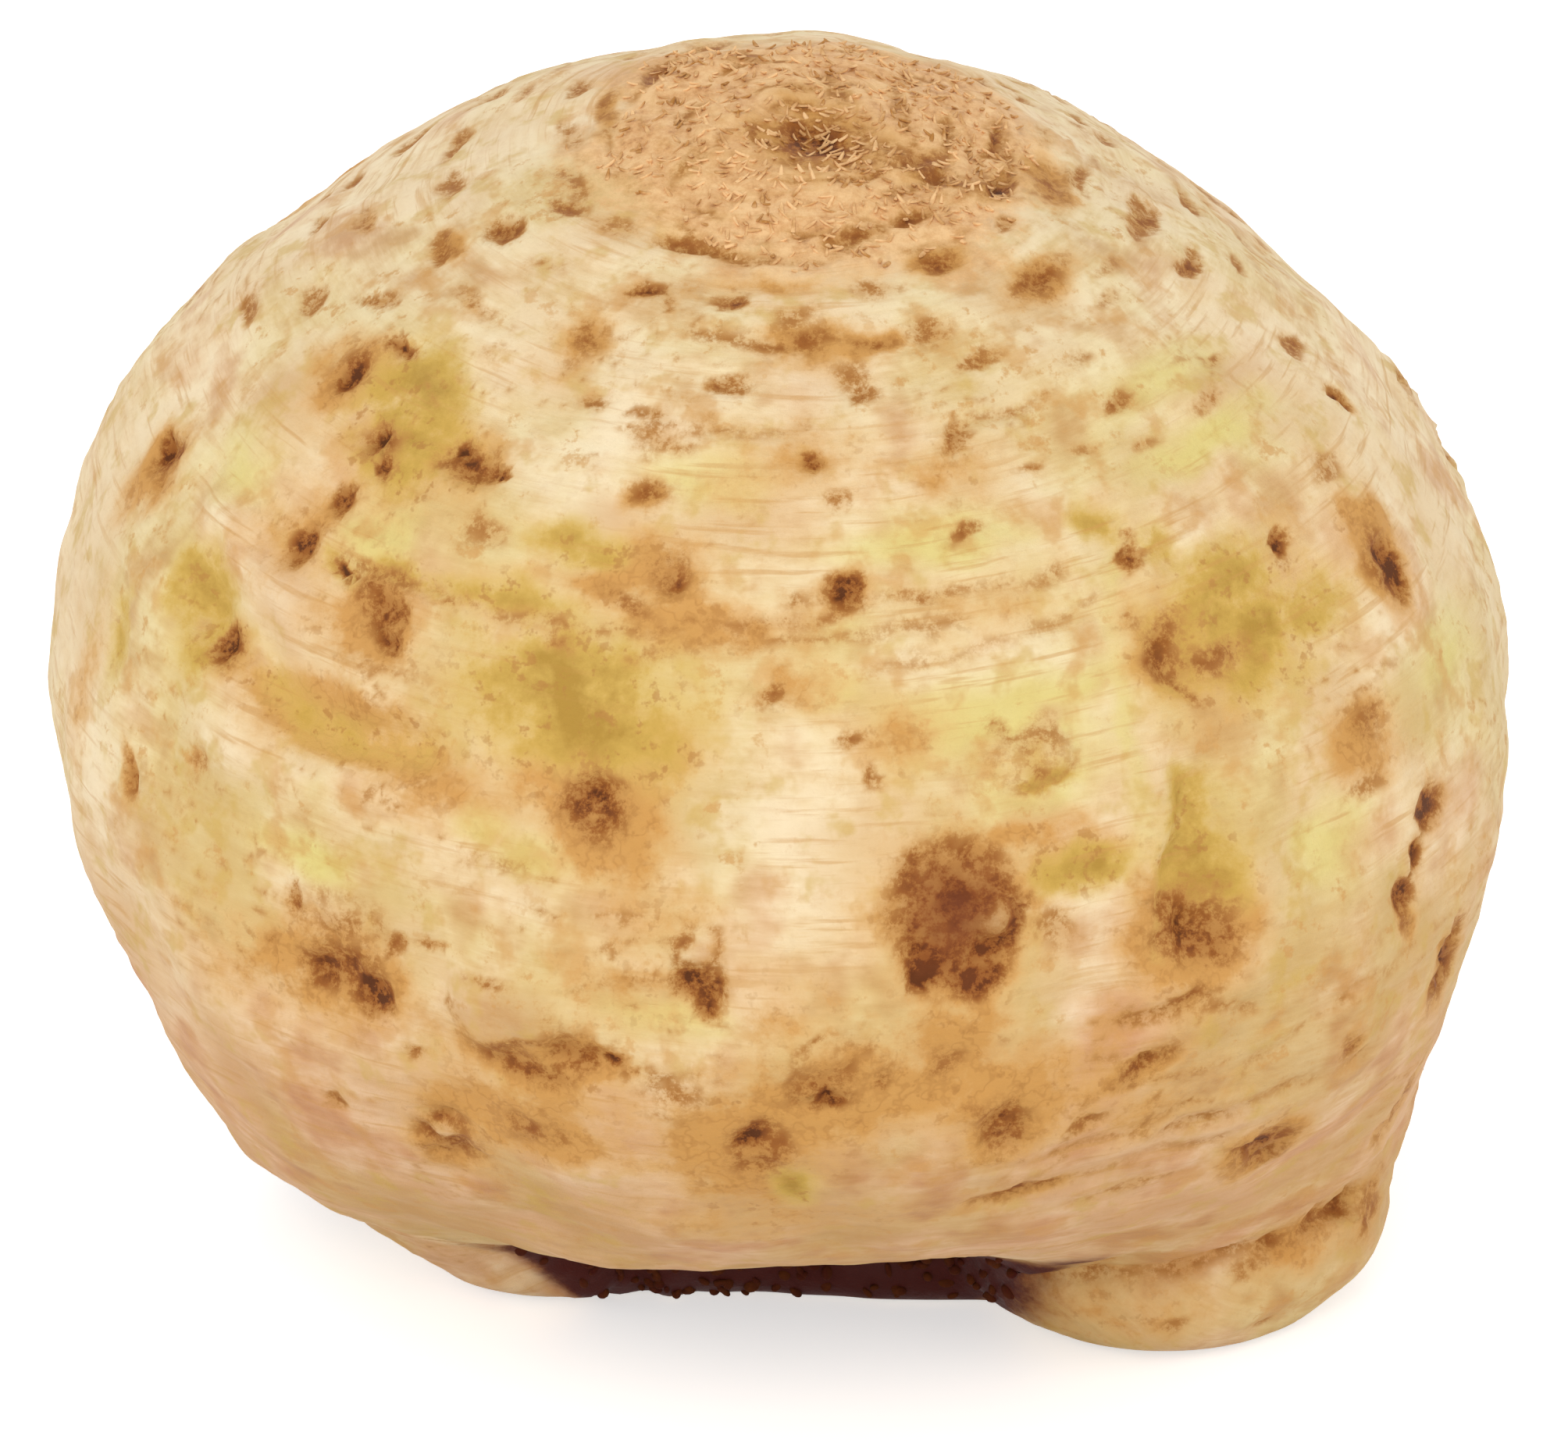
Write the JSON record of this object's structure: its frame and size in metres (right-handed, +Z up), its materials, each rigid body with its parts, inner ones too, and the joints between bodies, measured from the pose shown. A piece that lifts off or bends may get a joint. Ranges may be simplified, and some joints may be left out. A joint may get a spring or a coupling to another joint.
{
  "type": "celeriac",
  "caption": "Whole raw celeriac: a lumpy round swollen root with its leaves cut off, standing crown up on trimmed root stumps.",
  "frame": {"origin": "middle of the bounding box at the level of the trimmed stumps that it stands on", "axes": "+Z up through the crown, -Y the front, +X to the right seen from the front"},
  "size_m": [0.1184, 0.1138, 0.102],
  "materials": {
    "root_skin": null
  },
  "bodies": {
    "root": {"celeriac": "root_skin"}
  },
  "joints": []
}
